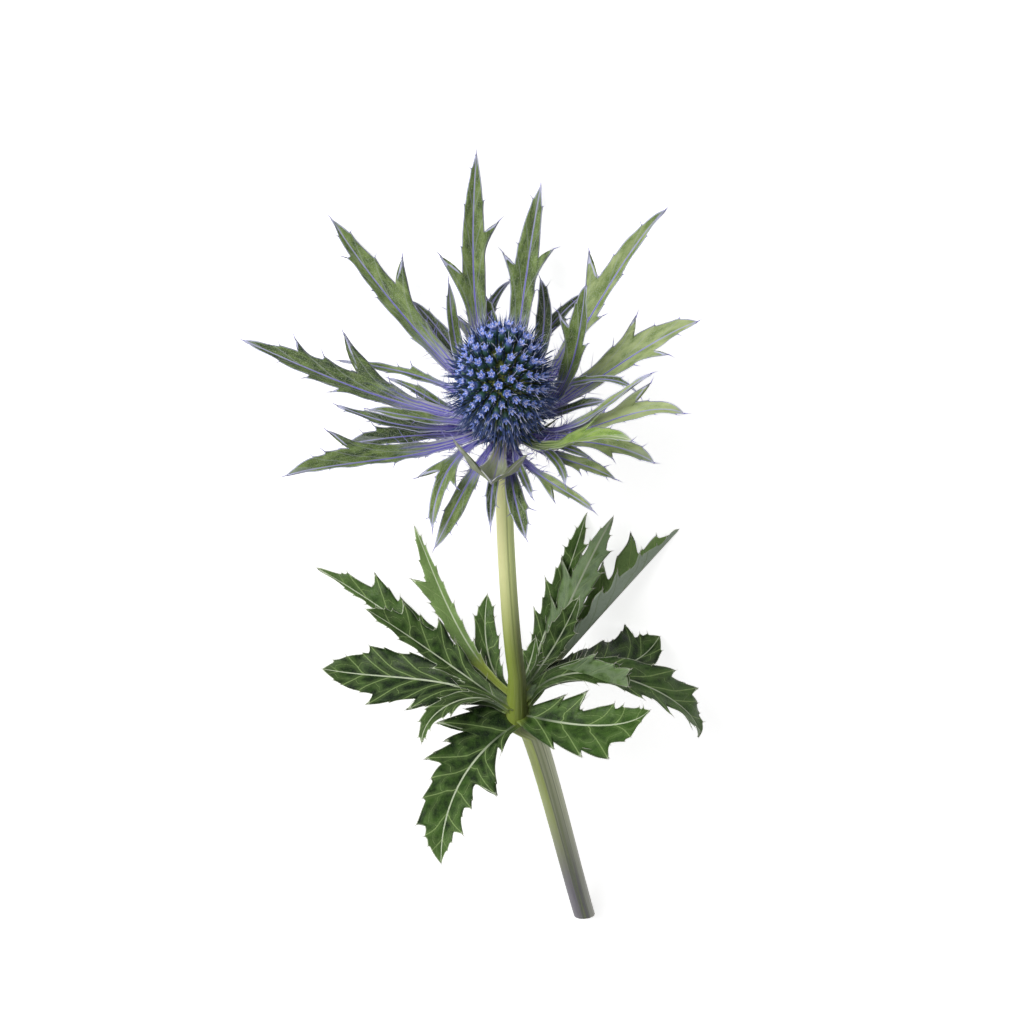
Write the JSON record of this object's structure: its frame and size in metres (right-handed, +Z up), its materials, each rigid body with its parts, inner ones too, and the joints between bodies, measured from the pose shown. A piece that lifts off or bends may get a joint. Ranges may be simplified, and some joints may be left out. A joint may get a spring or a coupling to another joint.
{
  "type": "sea holly flower head",
  "caption": "Cut sea holly flower lying down: a cone of small blue florets in a star-shaped ruff of spiny bracts, on a ribbed stem with a whorl of lobed, spiny leaves.",
  "frame": {"origin": "centre of the bounding box's bottom face, on the surface that the flower lies on", "axes": "+Z up from that surface; +Y along the stem toward its cut end, so the flower faces -Y; X across the ruff"},
  "size_m": [0.1063, 0.2457, 0.0686],
  "materials": {
    "stem": "ribbed, satin, yellow-green plant stem",
    "florets": "matt, periwinkle-blue florets over dark teal",
    "bracts": "satin, grey-green with violet-blue veins and spines",
    "leaves": "satin, dark green with pale veins and margins"
  },
  "bodies": {
    "root": {"stem": "stem", "flower_cone": "florets", "bract_01": "bracts", "bract_02": "bracts", "bract_03": "bracts", "bract_04": "bracts", "bract_05": "bracts", "bract_06": "bracts", "bract_07": "bracts", "bract_08": "bracts", "bract_09": "bracts", "bract_10": "bracts", "bract_11": "bracts", "bract_12": "bracts", "bract_13": "bracts", "bract_14": "bracts", "bract_15": "bracts", "bract_16": "bracts", "bract_17": "bracts", "bract_18": "bracts", "bract_19": "bracts", "bract_20": "bracts", "bract_21": "bracts", "bract_22": "bracts", "bract_23": "bracts", "bract_24": "bracts", "bract_25": "bracts", "bract_26": "bracts", "bract_27": "bracts", "bract_28": "bracts", "bract_29": "bracts", "bract_30": "bracts", "bract_31": "bracts", "bract_32": "bracts", "bract_33": "bracts", "bract_34": "bracts", "bract_35": "bracts", "leaf_01": "leaves", "leaf_02": "leaves", "leaf_03": "leaves", "leaf_04": "leaves", "leaf_05": "leaves", "leaf_06": "leaves", "leaf_07": "leaves", "leaf_08": "leaves", "leaf_09": "leaves", "leaf_10": "leaves", "leaf_11": "leaves", "leaf_12": "leaves", "leaf_13": "leaves", "leaf_14": "leaves", "leaf_15": "leaves", "side_shoot": "leaves"}
  },
  "joints": []
}
